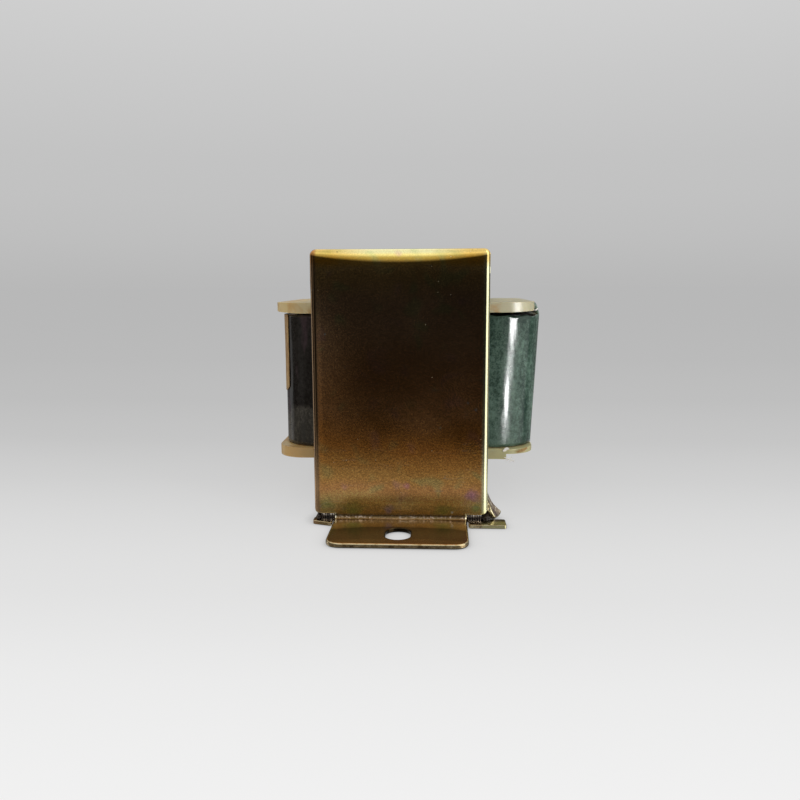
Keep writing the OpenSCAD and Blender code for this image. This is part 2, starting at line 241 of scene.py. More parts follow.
frameLow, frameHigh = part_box("channel_frame")
coreLow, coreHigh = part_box("lower_e_laminations")
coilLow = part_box("secondary_winding")[0]
passivate = {
    "filmByHeightWithPaintedLight": (    # share of the frame's height, colour of the film there, with painted shade in the dark band at the foot's bend and a painted reflection of a brown surround in the reddish middle
        (0.00, (0.46, 0.33, 0.16)),
        (0.018, (0.44, 0.31, 0.15)),
        (0.021, (0.11, 0.07, 0.03)),
        (0.026, (0.12, 0.075, 0.033)),
        (0.031, (0.28, 0.18, 0.075)),
        (0.040, (0.50, 0.29, 0.08)),
        (0.055, (0.60, 0.37, 0.12)),
        (0.0655, (0.66, 0.42, 0.135)),
        (0.076, (0.98, 0.60, 0.20)),
        (0.085, (1.0, 0.60, 0.21)),
        (0.13, (0.84, 0.41, 0.14)),
        (0.18, (0.84, 0.43, 0.12)),
        (0.24, (0.84, 0.38, 0.09)),
        (0.30, (0.83, 0.33, 0.07)),
        (0.45, (0.80, 0.37, 0.13)),
        (0.80, (0.76, 0.46, 0.24)),
        (0.93, (0.80, 0.50, 0.18)),
        (0.953, (0.78, 0.46, 0.09)),
        (0.968, (0.86, 0.58, 0.11)),
        (0.978, (0.96, 0.78, 0.26)),
        (0.988, (1.0, 0.92, 0.48)),
    ),
    "tints": (      # share of the clouds, colour that the film turns to
        (0.34, (0.46, 0.60, 0.24)), (0.46, (0.62, 0.58, 0.22)),
        (0.60, (0.86, 0.42, 0.38)), (0.70, (0.66, 0.34, 0.42)),
    ),
    "tintStrong": ((0.26, grey(1)), (0.42, grey(0)), (0.62, grey(0)), (0.84, grey(1))),
    "tintHeights": (    # share of the frame's height, how far the film turns there
        (0.02, grey(0.06)), (0.05, grey(0.24)), (0.08, grey(0.40)), (0.34, grey(0.16)), (0.70, grey(0.40)),
    ),
    "tintScale": 190,
    "roughness": (0.10, 0.15),
    "lowRoughness": 0.20,   # added towards the bottom, where the finish is dusty
    "lowHeights": ((0.020, 0.3), (0.036, 1), (0.06, 1), (0.14, 0)),     # share of it, by height
    # painted highlight along the right fold, and painted shade along the left fold
    "rightFoldHighlight": (1.0, 0.96, 0.58),
    "leftFoldShade": (0.50, 0.31, 0.16),
    "endFilm": (0.86, 0.66, 0.38),      # towards the ends of the upper edge
    "speck": (0.92, 0.84, 0.66),
    "pit": (0.16, 0.10, 0.05),
    "scratch": (0.80, 0.74, 0.62),
    "rubs": ((0.38, (0.20, 0.14, 0.13)), (0.52, (0.42, 0.34, 0.25)), (0.64, (0.80, 0.72, 0.56))),
    # cracks at the root whose pale colour also paints the bend's highlight, then painted shade under the
    # frame's lower edge
    "crackleAndSheen": (1.0, 0.80, 0.66),
    "varnish": (0.14, 0.10, 0.07),
    "paintedShadeTone": (0.55, 0.52, 0.42),     # painted shade, where a piece lies in shade as a whole
    "root": coreHigh.y + 1.45 * mm,
    "footLightZones": (    # distance out along the foot in mm, painted light and shade of its film there
        (0.0, (1.0, 1.0, 1.0)), (0.7, (2.2, 2.6, 3.8)), (2.6, (2.1, 2.4, 3.4)), (4.2, (1.5, 1.6, 2.0)),
        (5.2, (1.1, 1.1, 1.2)), (5.9, (0.26, 0.21, 0.14)), (12.3, (0.20, 0.16, 0.12)),
        (13.2, (0.36, 0.36, 0.40)), (14.2, (0.36, 0.34, 0.32)),
    ),
    "footRun": 20,      # mm that the zones are counted over
    "footBow": -9.0,    # how much sooner they come towards the foot's sides
    "grainHeight": 0.028 * mm,
    "spotY": frameLow.y + 16 * mm,
    "spots": (    # x and z in mm on the front panel, radius, colour, strength
        (1.4, 8.2, 1.1, (1.0, 0.38, 0.44), 0.6),
        (15.0, 6.0, 2.3, (0.62, 0.28, 0.50), 0.6),
        (15.9, 3.6, 1.6, (0.36, 0.54, 0.16), 0.6),
        (-2.5, 2.8, 1.7, (0.30, 0.24, 0.40), 0.55),
        (-15.5, 4.2, 2.2, (0.30, 0.44, 0.14), 0.5),
        (-10.0, 2.6, 3.6, (0.26, 0.36, 0.09), 0.6),
        (9.0, 2.6, 3.2, (0.30, 0.36, 0.09), 0.6),
        (15.7, 24.4, 0.45, (0.80, 0.78, 0.76), 0.9),
        (14.0, 25.8, 0.35, (0.80, 0.78, 0.76), 0.9),
        (10.9, 2.5, 0.40, (0.90, 0.90, 0.80), 1.0),
        (-15.4, 40.0, 0.28, (0.80, 0.78, 0.72), 0.9),
        (8.4, 20.6, 0.30, (0.90, 0.80, 0.60), 0.8),
    ),
}


# Colour of the film by height, with painted shade in the foot's bend and a painted reflection in the reddish
# middle, with clouds of other tints and the spots of the front panel
def filmAndPaintedLight(tree, place, axes, cloud, share, v):
    drift = remap(tree, cloud, 0.0, 1.0, -0.11, 0.11)
    highUp = remap(tree, share, 0.03, 0.30)
    nearTop = remap(tree, share, 0.92, 0.75)
    between = calc(tree, "MULTIPLY", highUp, nearTop)
    film = ramp(tree, calc(tree, "MULTIPLY_ADD", drift, between, share), v["filmByHeightWithPaintedLight"])
    tint = clouds(tree, place, v["tintScale"], 1.0, distortion=0.6)
    strong = ramp(tree, tint, v["tintStrong"])
    byHeight = ramp(tree, share, v["tintHeights"])
    tintShare = calc(tree, "MULTIPLY", strong, byHeight)
    colour = mixColour(tree, film, ramp(tree, tint, v["tints"]), tintShare)
    aboveBend = remap(tree, axes["Z"], 1.7 * mm, 2.3 * mm)
    for x, z, radius, tone, strength in v["spots"]:
        spot = useGroup(tree, softSpot, {
            "Vector": place, "Centre": (x * mm, v["spotY"], z * mm),
            "Radius": radius * mm, "Strength": strength,
        })
        colour = mixColour(tree, colour, (*tone, 1), calc(tree, "MULTIPLY", spot, aboveBend))
    return colour


# The right fold gets a painted highlight and the left fold painted shade, the ends of the upper edge have a
# film of their own, and all of it is mottled
def mottledFilm(tree, place, axes, share, colour, v):
    sideways = calc(tree, "ABSOLUTE", axes["X"])
    folds = remap(tree, sideways, 16.7 * mm, 17.5 * mm, smooth=True)
    rightFold = calc(tree, "GREATER_THAN", axes["X"], 0.0)
    foldHighlightAndShade = mixColour(tree, (*v["leftFoldShade"], 1), (*v["rightFoldHighlight"], 1), rightFold)
    folded = mixColour(tree, colour, foldHighlightAndShade, folds)
    atTop = remap(tree, share, 0.93, 0.96)
    topEnds = calc(tree, "MULTIPLY", atTop, remap(tree, sideways, 6 * mm, 14 * mm))
    warmEnds = mixColour(tree, folded, (*v["endFilm"], 1), topEnds, blend="MULTIPLY")
    mottle = clouds(tree, place, 3300.0, roughness=0.7)
    mottleTone = remap(tree, mottle, 0.42, 0.70, 0.80, 1.45)
    calm = calc(tree, "MAXIMUM", folds, atTop)
    return mixColour(tree, warmEnds, mottleTone, remap(tree, calm, 0.0, 1.0, 1.0, 0.3), blend="MULTIPLY")


# Bright specks, dark pits and pale scratches
def markedFilm(tree, place, colour, specks, v):
    specked = mixColour(tree, colour, (*v["speck"], 1), specks)
    pits = specksOf(tree, place, 1100.0, 0.3, 0.12)
    pitted = mixColour(tree, specked, (*v["pit"], 1), calc(tree, "MULTIPLY", pits, 0.6))
    scratches = useGroup(tree, thinScratches, {"Vector": place, "Scale": 42.0, "Width": 0.004})
    return mixColour(tree, pitted, (*v["scratch"], 1), calc(tree, "MULTIPLY", scratches, 0.22))


# The foot's film gets bands of painted highlight and painted shade where it is seen directly
def paintedFootLight(tree, place, axes, depthways, colour, v):
    wavyY = calc(tree, "MULTIPLY_ADD", clouds(tree, place, 260.0, 3.0), 1.6 * mm, depthways)
    bowed = calc(tree, "MULTIPLY", axes["X"], axes["X"])
    towardsEdge = calc(tree, "MULTIPLY_ADD", bowed, v["footBow"], wavyY)
    rootY = v["root"] + 0.8 * mm
    run = v["footRun"]
    along = remap(tree, towardsEdge, rootY, rootY + run * mm)
    footLightBands = ramp(tree, along, tuple((entry / run, tone) for entry, tone in v["footLightZones"]))
    onFoot = remap(tree, axes["Z"], 1.25 * mm, 1.05 * mm)
    seen = node(tree, "LightPath")
    footSeen = calc(tree, "MULTIPLY", onFoot, seen.outputs["Is Camera Ray"])
    return mixColour(tree, colour, footLightBands, footSeen, blend="MULTIPLY")


# The film is cracked at the foot's root, its pale cracks also painting the bend's highlight, and painted
# shade darkens it under the frame
def crackedRootAndShade(tree, place, axes, depthways, abovePlate, colour, v):
    root = remap(tree, depthways, v["root"] + 2.4 * mm, v["root"] + 0.5 * mm)
    lowest = remap(tree, axes["Z"], 2.1 * mm, 1.7 * mm)
    cracks = remap(tree, clouds(tree, place, 1500.0, 4.0, 0.7, 1.0), 0.54, 0.64)
    crackShare = calc(tree, "MULTIPLY", calc(tree, "MULTIPLY", root, lowest), cracks)
    someCracks = calc(tree, "MULTIPLY", crackShare, 0.4)
    crackled = mixColour(tree, colour, (*v["crackleAndSheen"], 1), someCracks)
    within = remap(tree, depthways, v["root"] + 0.9 * mm, v["root"] + 0.1 * mm)
    underFrameShade = calc(tree, "MULTIPLY", within, calc(tree, "SUBTRACT", 1.0, abovePlate))
    return mixColour(tree, crackled, (*v["varnish"], 1), underFrameShade, blend="MULTIPLY")


# Zinc plate with a thin yellow film that turns pink, violet and green in places, with painted light and shade
# in its colour
def makePassivate(name, v, height, paintedShade=0.0):
    material, tree, shader = newMaterial(name)
    place, axes = objectPlace(tree)
    cloud = clouds(tree, place, 70.0, 3.0)
    share = calc(tree, "DIVIDE", axes["Z"], height)
    depthways = calc(tree, "ABSOLUTE", axes["Y"])
    film = filmAndPaintedLight(tree, place, axes, cloud, share, v)
    mottled = mottledFilm(tree, place, axes, share, film, v)
    specks = specksOf(tree, place, 780.0, 0.10, 0.16)
    marked = markedFilm(tree, place, mottled, specks, v)
    footLit = paintedFootLight(tree, place, axes, depthways, marked, v)

    sprung = remap(tree, axes["X"], -frameLow.x + 0.03 * mm, -frameLow.x + 0.25 * mm)
    abovePlate = calc(tree, "GREATER_THAN", axes["Z"], 0.9 * mm)
    sprungPart = calc(tree, "MULTIPLY", sprung, abovePlate)
    rubs = ramp(tree, clouds(tree, place, 900.0, 3.0, distortion=1.5), v["rubs"])
    rubbed = mixColour(tree, footLit, rubs, sprungPart)
    crackedAndShaded = crackedRootAndShade(tree, place, axes, depthways, abovePlate, rubbed, v)
    shade = mixColour(tree, crackedAndShaded, (*v["paintedShadeTone"], 1), paintedShade, blend="MULTIPLY")

    smooth, matt = v["roughness"]
    matte = remap(tree, cloud, 0.3, 0.7, smooth, matt)
    low = v["lowRoughness"]
    dusty = ramp(tree, share, tuple((entry, grey(low * part)) for entry, part in v["lowHeights"]))
    lower = calc(tree, "ADD", matte, dusty)
    uneven = calc(tree, "ADD", specks, sprungPart)
    grain = grainOf(tree, place, 60.0, 2600.0, 0.19)
    feed(tree, shader, {
        "Base Color": shade, "Roughness": calc(tree, "MULTIPLY_ADD", uneven, 0.25, lower), "Metallic": 1.0,
        "Normal": bumped(tree, grain, v["grainHeight"]),
    })
    return material


lamination = {
    "pitch": 0.5 * mm,
    "tones": ((0.05, (0.10, 0.08, 0.066)), (0.22, (0.40, 0.35, 0.30)), (0.40, (0.80, 0.74, 0.66)),
              (1.0, (1.0, 0.96, 0.90))),
    "seed": 31.7,
    "seam": 0.30,       # share of a sheet's edge that is a dark seam
    "seamTone": (0.012, 0.010, 0.009),
    "stains": ((0.38, (0.42, 0.26, 0.13)), (0.56, (1, 1, 1))),
    "outerFace": ((0.36, (0.060, 0.050, 0.042)), (0.55, (0.15, 0.135, 0.12)), (0.70, (0.24, 0.22, 0.20))),
    "span": 57,         # mm of height
    # painted shade on the lowest part of the sheets, in the gap under the frame
    "lowShade": ((1.0, (0.06, 0.045, 0.035)), (1.25, grey(1)), (57, grey(1))),    # height in mm, tone there
}


# Punched sheet edges, each with its own tone, parted by dark seams, with painted shade at the bottom
def makeLamination(name, v):
    material, tree, shader = newMaterial(name)
    place, axes = objectPlace(tree)
    count = calc(tree, "DIVIDE", axes["X"], v["pitch"])
    offset = calc(tree, "ADD", count, 100.5)
    seeded = calc(tree, "ADD", calc(tree, "FLOOR", offset), v["seed"])
    own = node(tree, "TexWhiteNoise", {"W": seeded}, noise_dimensions="1D").outputs["Value"]
    tones = ramp(tree, own, v["tones"], "LINEAR")
    middle = calc(tree, "SUBTRACT", calc(tree, "FRACT", offset), 0.5)
    seam = remap(tree, calc(tree, "ABSOLUTE", middle), 0.5 - v["seam"], 0.5)
    stain = clouds(tree, place, 260.0, 4.0, 0.65)
    stained = mixColour(tree, tones, ramp(tree, stain, v["stains"]), 0.7, blend="MULTIPLY")
    parted = mixColour(tree, stained, (*v["seamTone"], 1), seam)
    outward = calc(tree, "ABSOLUTE", axes["X"])
    outside = calc(tree, "GREATER_THAN", outward, coreHigh.x - 0.02 * mm)
    sided = mixColour(tree, parted, ramp(tree, stain, v["outerFace"]), outside)
    uneven = calc(tree, "MULTIPLY_ADD", own, -0.5 * mm, axes["Z"])
    span = v["span"]
    # painted shade along the bottom of the sheets
    lowShade = ramp(tree, calc(tree, "DIVIDE", uneven, span * mm),
                  tuple((height / span, tone) for height, tone in v["lowShade"]), "LINEAR")
    grain = grainOf(tree, place, 500.0, 3000.0, 0.6)
    height = calc(tree, "MULTIPLY_ADD", grain, 0.35, calc(tree, "MULTIPLY", seam, -1.0))
    feed(tree, shader, {
        "Base Color": mixColour(tree, sided, lowShade, blend="MULTIPLY"), "Metallic": 0.35,
        "Roughness": remap(tree, stain, 0.3, 0.7, 0.55, 0.34), "Normal": bumped(tree, height, 0.05 * mm),
    })
    return material


nylon = {
    "colour": (0.55, 0.51, 0.33),
    "stain": (0.52, 0.30, 0.09),
    "amber": (0.76, 0.53, 0.21),
    "damp": (0.50, 0.46, 0.23),     # greener tone of the lower flange's right end
    "speck": (0.30, 0.19, 0.08),
    "roughness": (0.30, 0.46),
}


# Ivory moulded nylon with amber varnish stains
def makeNylon(name, v):
    material, tree, shader = newMaterial(name)
    place, axes = objectPlace(tree)
    cloud = clouds(tree, place, 130.0, 4.0, 0.6)
    lowDown = remap(tree, axes["Z"], 30 * mm, 12 * mm, 0.0, 0.15)
    rightEnd = remap(tree, axes["X"], 10 * mm, 20 * mm)
    dryLow = calc(tree, "MULTIPLY", rightEnd, lowDown)
    leftEnd = remap(tree, axes["X"], -16 * mm, -26 * mm, 0.0, 0.16)
    dampShare = calc(tree, "MULTIPLY", dryLow, 1 / 0.15)
    greener = mixColour(tree, (*v["colour"], 1), (*v["damp"], 1), dampShare)
    amber = mixColour(tree, greener, (*v["amber"], 1), calc(tree, "MULTIPLY", leftEnd, 4.0))
    toned = mixColour(tree, amber, remap(tree, cloud, 0.3, 0.7, 0.86, 1.08), blend="MULTIPLY")
    varnish = clouds(tree, place, 210.0, 3.0, distortion=0.4)
    wetLow = calc(tree, "SUBTRACT", lowDown, dryLow)
    wetter = calc(tree, "ADD", varnish, calc(tree, "ADD", wetLow, leftEnd))
    patches = remap(tree, wetter, 0.60, 0.78, smooth=True)
    stained = mixColour(tree, toned, (*v["stain"], 1), calc(tree, "MULTIPLY", patches, 0.75))
    specks = specksOf(tree, place, 900.0, 0.22, 0.06)
    low, high = v["roughness"]
    grain = grainOf(tree, place, 220.0, 2400.0, 0.3)
    feed(tree, shader, {
        "Base Color": mixColour(tree, stained, (*v["speck"], 1), specks),
        "Roughness": remap(tree, cloud, 0.3, 0.7, high, low), "Subsurface Weight": 0.25,
        "Subsurface Scale": 0.8 * mm, "Subsurface Radius": (1.0, 0.7, 0.35),
        "Normal": bumped(tree, grain, 0.05 * mm, 0.6),
    })
    return material


tapeFilm = {
    # the right side is painted lighter and the left side near black, as the light falls from the right
    "right": ((0.018, 0.037, 0.027), (0.120, 0.190, 0.145)),    # deep and pale tone
    "left": ((0.010, 0.008, 0.006), (0.030, 0.026, 0.022)),
    "low": ((0.034, 0.031, 0.025), (0.125, 0.110, 0.086)),
    "streaks": ((0.030, 0.020, 0.021), (0.060, 0.040, 0.042)),
    "lowPart": 8 * mm,      # height of the paler lower part of the left side, a painted reflection
    "dust": (0.26, 0.30, 0.26),
}


# Dark green polyester tape, glossy and a little wrinkled along its height, painted near black on the shaded
# left side and lighter towards the lit right
def makeFilm(name, v):
    material, tree, shader = newMaterial(name)
    place, axes = objectPlace(tree)
    long = objectPlace(tree, (1, 1, 0.22))[0]
    cloud = clouds(tree, long, 150.0, 4.0, 0.6)
    weave = clouds(tree, place, 1100.0, 6.0, 0.85)
    blotch = calc(tree, "MULTIPLY", calc(tree, "ADD", cloud, weave), 0.5)
    left, low, streaks, right = (
        ramp(tree, blotch, tuple(zip((0.41, 0.61), v[part])))
        for part in ("left", "low", "streaks", "right")
    )
    ragged = clouds(tree, long, 330.0, 3.0)
    waved = calc(tree, "MULTIPLY_ADD", ragged, 7 * mm, axes["Z"])
    edgeZ = coilLow.z + v["lowPart"] + 3.5 * mm
    lowDown = remap(tree, waved, edgeZ + 0.7 * mm, edgeZ - 0.7 * mm)
    streaked = mixColour(tree, left, streaks, remap(tree, ragged, 0.54, 0.66))
    lowered = mixColour(tree, streaked, low, lowDown)
    # painted light: the tape turns lighter towards the right, and lighter still at the far right
    rightwards = remap(tree, axes["X"], -12 * mm, 12 * mm)
    tones = mixColour(tree, lowered, right, rightwards)
    paintedLightFarRight = remap(tree, axes["X"], 24 * mm, 30 * mm, 1.0, 1.5)
    paintedLightTones = mixColour(tree, tones, paintedLightFarRight, blend="MULTIPLY")
    dust = specksOf(tree, place, 1300.0, 0.22, 0.16)
    dustShare = calc(tree, "MULTIPLY", dust, rightwards)
    creases = clouds(tree, long, 240.0, 3.0, distortion=0.8)
    height = calc(tree, "MULTIPLY_ADD", clouds(tree, place, 1800.0), 0.06, creases)
    feed(tree, shader, {
        "Base Color": mixColour(tree, paintedLightTones, (*v["dust"], 1), dustShare),
        "Roughness": remap(tree, cloud, 0.35, 0.7, 0.12, 0.26), "IOR": 1.3, "Coat Weight": 0.12,
        "Coat Roughness": 0.07, "Normal": bumped(tree, height, 0.16 * mm),
    })
    return material


# Insulating paper with its fibres, and oil soaked into it in places
def makePaper(name, colour, fibre):
    material, tree, shader = newMaterial(name)
    place = objectPlace(tree, (1, 1, 0.35))[0]
    fibres = clouds(tree, place, 900.0, 5.0, 0.7, 1.2)
    tones = ramp(tree, fibres, ((0.34, fibre), (0.64, colour)))
    oil = clouds(tree, place, 160.0)
    oiled = remap(tree, oil, 0.45, 0.68, 0.0, 0.55)
    feed(tree, shader, {
        "Base Color": mixColour(tree, tones, (0.62, 0.45, 0.26, 1), oiled, blend="MULTIPLY"),
        "Roughness": remap(tree, oil, 0.45, 0.68, 0.78, 0.4), "Normal": bumped(tree, fibres, 0.04 * mm, 0.7),
    })
    return material


# Enamelled wire laid in level turns, with painted shade at the top, in the dark gap under the upper flange
def makeWire(name, colour, wire):
    material, tree, shader = newMaterial(name)
    place, axes = objectPlace(tree)
    turns = node(tree, "TexWave", {
        "Vector": place, "Scale": 1 / wire / 6.283, "Distortion": 0.4, "Detail": 1.0,
    }, wave_type="BANDS", bands_direction="Z", wave_profile="SIN").outputs["Fac"]
    tones = ramp(tree, turns, ((0.05, tuple(c * 0.12 for c in colour)), (0.5, colour)))
    # painted shade at the top of the windings
    atTop = remap(tree, axes["Z"], 42.6 * mm, 43.1 * mm)
    rough = remap(tree, clouds(tree, place, 300.0), 0.0, 1.0, 0.18, 0.38)
    feed(tree, shader, {
        "Base Color": mixColour(tree, tones, (0.012, 0.008, 0.005, 1), atTop), "Roughness": rough,
        "Metallic": 0.85, "Coat Weight": 0.5, "Normal": bumped(tree, turns, wire * 0.3),
    })
    return material


# Sheared edges, where the plating is thin and brown, with a painted light factor on the feet and painted
# shade inside the feet's slots
def makeCutEdge(name, tones, roughness, footLightFactor):
    material, tree, shader = newMaterial(name)
    place, axes = objectPlace(tree)
    cloud = clouds(tree, place, 700.0, 4.0, 0.7)
    colour = ramp(tree, cloud, tuple(zip((0.34, 0.52, 0.70), tones)))
    # painted light on the feet's edges: brighter for the sheared edges, darker for the rubbed ones
    atFoot = calc(tree, "LESS_THAN", axes["Z"], 1.2 * mm)
    footed = mixColour(tree, colour, (*footLightFactor, 1), atFoot, blend="MULTIPLY")
    # painted shade inside the feet's slots
    inside = [calc(tree, "LESS_THAN", calc(tree, "ABSOLUTE", axes[axis]), far)
              for axis, far in (("X", 4 * mm), ("Y", frameHigh.y - 1.6 * mm))]
    slotShade = calc(tree, "MULTIPLY", *inside)
    feed(tree, shader, {
        "Base Color": mixColour(tree, footed, (0.07, 0.06, 0.05, 1), slotShade, blend="MULTIPLY"),
        "Metallic": 1.0, "Roughness": remap(tree, cloud, 0.3, 0.7, roughness * 1.3, roughness * 0.7),
        "Normal": bumped(tree, cloud, 0.04 * mm, 0.6),
    })
    return material


# Varnish that has dried in lumps, near black, so that it also stands in for shade
def makeVarnish(name, colour, roughness):
    material, tree, shader = newMaterial(name)
    feed(tree, shader, {"Base Color": (*colour, 1), "Roughness": roughness})
    return material


passivatedSteel = makePassivate("passivatedSteel", passivate, frameHigh.z)
# The base plate is the same plated steel with painted shade, as it lies under the frame
shadedPlateSteel = makePassivate("shadedPlateSteel", passivate, frameHigh.z, 0.8)
cutEdgeSteel = makeCutEdge(
    "cutEdgeSteel", ((0.07, 0.045, 0.022), (0.17, 0.12, 0.058), (0.34, 0.26, 0.14)), 0.33, (2.2, 2.2, 2.3))
rubbedSteel = makeCutEdge(
    "rubbedSteel", ((0.62, 0.48, 0.24), (0.92, 0.80, 0.48), (1.0, 0.95, 0.74)), 0.20, (0.66, 0.62, 0.60))
laminationSteel = makeLamination("laminationSteel", lamination)
ivoryNylon = makeNylon("ivoryNylon", nylon)
greenFilm = makeFilm("greenFilm", tapeFilm)
tanPaper = makePaper("tanPaper", (0.53, 0.36, 0.15), (0.33, 0.19, 0.08))
whitePaper = makePaper("whitePaper", (0.97, 0.96, 0.93), (0.92, 0.90, 0.86))
barrierPaper = makePaper("barrierPaper", (0.80, 0.68, 0.38), (0.62, 0.47, 0.20))
primaryWire = makeWire("primaryWire", (0.62, 0.22, 0.07), 0.35 * mm)
secondaryWire = makeWire("secondaryWire", (0.09, 0.04, 0.018), 0.7 * mm)
varnishAndShade = makeVarnish("varnishAndShade", (0.020, 0.013, 0.008), 0.42)
print("materials made")


def meshObject(name, bm, material):
    mesh = bpy.data.meshes.new(name)
    bm.to_mesh(mesh)
    bm.free()
    mesh.materials.append(material)
    obj = bpy.data.objects.new(name, mesh)
    scene.collection.objects.link(obj)
    return obj


def addPiece(name, bm, material, nodes=()):
    obj = meshObject(name, bm, material)
    obj.data.shade_smooth()
    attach(obj, "root")
    if nodes:
        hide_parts(*nodes)
    return obj


def roundEdges(obj, rim, segments, material):
    edge = obj.modifiers.new("edges", "BEVEL")
    edge.width = rim
    edge.segments = segments
    edge.limit_method = "ANGLE"
    edge.angle_limit = math.radians(50)
    edge.harden_normals = True
    edge.use_clamp_overlap = False
    edge.material = material


def thicken(obj, thickness):
    solid = obj.modifiers.new("thickness", "SOLIDIFY")
    solid.thickness = thickness
    solid.offset = -1
    return solid


# Gives a sheet its thickness, its sheared sides and its rubbed edges
def finishSheet(obj, thickness, rim):
    solid = thicken(obj, thickness)
    solid.use_even_offset = True
    obj.data.materials.append(cutEdgeSteel)
    obj.data.materials.append(rubbedSteel)
    solid.material_offset_rim = 1
    roundEdges(obj, rim, segments=3, material=2)


# The vertices among what an extrusion made
def verticesOf(made):
    return [part for part in made["geom"] if isinstance(part, bmesh.types.BMVert)]


# An open sheet's normals all one way, outwards from the middle of the part at its first face
def facingOut(bm):
    bmesh.ops.recalc_face_normals(bm, faces=bm.faces)
    face = bm.faces[:][0]
    centre = face.calc_center_median()
    if face.normal.dot(Vector((centre.x, centre.y, 0))) < 0:
        bmesh.ops.reverse_faces(bm, faces=bm.faces)


# A square's cells drawn into a quarter disc, so that a corner or a slot's end comes out round
def towardsDisc(a, b):
    a, b = min(a, 1), min(b, 1)
    return a * math.sqrt(1 - b * b / 2), b * math.sqrt(1 - a * a / 2)


channel = {
    "sheet": 1.0 * mm,
    "endFit": 0.45 * mm,
    "foldRadius": 1.3 * mm,
    "lip": 5.0 * mm,
    "bendDrop": 2.9 * mm,
    "bendBack": 1.9 * mm,
    "bendPinch": 1.3 * mm,
    "panelLift": 1.9 * mm,
    "panelTop": 51 * mm,
    "mitre": 0.5 * mm,
    "footWidth": 28 * mm,
    "footCorner": 3 * mm,
    "footBend": 0.8 * mm,
    "footSteps": (4.4 * mm, 3.0 * mm, 1.8 * mm),
    "slotWidth": 5 * mm,
    "slotLength": 7.2 * mm,
    "slotSpacing": 88 * mm,
    "splayTop": 7.0 * mm,
    "splayFloor": 0.8 * mm,
    "splayNear": 1.7 * mm,
    "splayFar": 3.4 * mm,
    "tipRound": 0.7 * mm,
    "tear": 0.25 * mm,      # the lip beside the fold, where it turns sharply outwards
    "cornerRise": 0.7 * mm,     # how much the panel's lower corners are rounded off
    "rim": 0.34 * mm,
}


panelY = coreHigh.y + channel["endFit"] + channel["sheet"]
channel.update({    # sizes that follow from the others
    "halfWidth": -frameLow.x,
    "top": frameHigh.z,
    "flatX": -frameLow.x - channel["foldRadius"],
    "lipRun": channel["lip"] - channel["foldRadius"],
    "footLength": frameHigh.y - panelY,
    "footHalf": channel["footWidth"] / 2,
    "slotHalf": channel["slotWidth"] / 2,
    "slotMiddle": channel["slotSpacing"] / 2 - panelY,
    "slotStraight": (channel["slotLength"] - channel["slotWidth"]) / 2,
})
touching = 1e-9     # how close counts as the same place


# Columns across the sheet: lips by their depth, folds by their angle, the flat by x
def channelColumns(v):
    slotHalf, footHalf, corner = v["slotHalf"], v["footHalf"], v["footCorner"]
    right = [("flat", slotHalf * i / 4) for i in range(5)]
    right += [("flat", slotHalf + (footHalf - corner - slotHalf) * i / 5) for i in range(1, 6)]
    right += [("flat", footHalf - corner + corner * i / 5) for i in range(1, 6)]
    right += [("flat", footHalf + (v["flatX"] - footHalf) * i / 3) for i in range(1, 4)]
    right += [("fold", 15 * i) for i in range(1, 7)]
    right += [("lip", v["tear"])] + [("lip", v["lipRun"] * i / 6) for i in range(1, 7)]
    left = [(kind, value, -1) for kind, value in reversed(right[1:])]
    return left + [(kind, value, 1) for kind, value in right]


# Rows along the sheet, from the far end of one foot to that of the other
def channelRows(v):
    middle, straight, slotHalf = v["slotMiddle"], v["slotStraight"], v["slotHalf"]
    feet = [v["footLength"] - v["footCorner"] * i / 5 for i in range(6)]
    feet += [middle + straight + slotHalf * i / 4 for i in range(5)]
    feet += [middle, middle - straight]
    feet += [middle - straight - slotHalf * i / 4 for i in range(1, 5)]
    feet += [*v["footSteps"], v["footBend"]]
    rows = [("foot", value) for value in sorted(set(feet), reverse=True)]
    rows += [("bend", 15 * i) for i in range(1, 6)]
    rows += [("panel", value) for value in (v["footBend"] + v["sheet"], v["panelLift"])]
    rows += [("panel", v["panelLift"] + (v["splayTop"] - v["panelLift"]) * i / 6) for i in range(1, 7)]
    rows += [("panel", v["splayTop"] + (v["panelTop"] - v["splayTop"]) * i / 14) for i in range(1, 15)]
    rows += [("crown", 9 * i) for i in range(11)]
    front = [(kind, value, -1) for kind, value in rows]
    back = [(kind, value, 1) for kind, value in reversed(rows)]
    return front + [("top", i / 12, 0) for i in range(1, 12)] + back


# Point and outward normal in the YZ plane
def channelProfile(v, row, x):
    kind, value, side = row
    s, c = math.sin(math.radians(value)), math.cos(math.radians(value))
    if kind == "foot":
        return side * (panelY + value), v["sheet"], 0, 1
    if kind == "bend":
        a = v["footBend"]
        return side * (panelY + a - a * s), v["sheet"] + a - a * c, side * s, c
    if kind == "panel":
        return side * panelY, value, side, 0
    share = (abs(x) / v["halfWidth"]) ** 2
    a = v["bendBack"] + (v["bendPinch"] - v["bendBack"]) * share
    b = v["bendDrop"] + (v["bendPinch"] - v["bendDrop"]) * share
    if kind == "crown":
        size = math.hypot(b * c, a * s)
        return side * (panelY - a + a * c), v["top"] - b + b * s, side * b * c / size, a * s / size
    return (2 * value - 1) * (panelY - a), v["top"], 0, 1


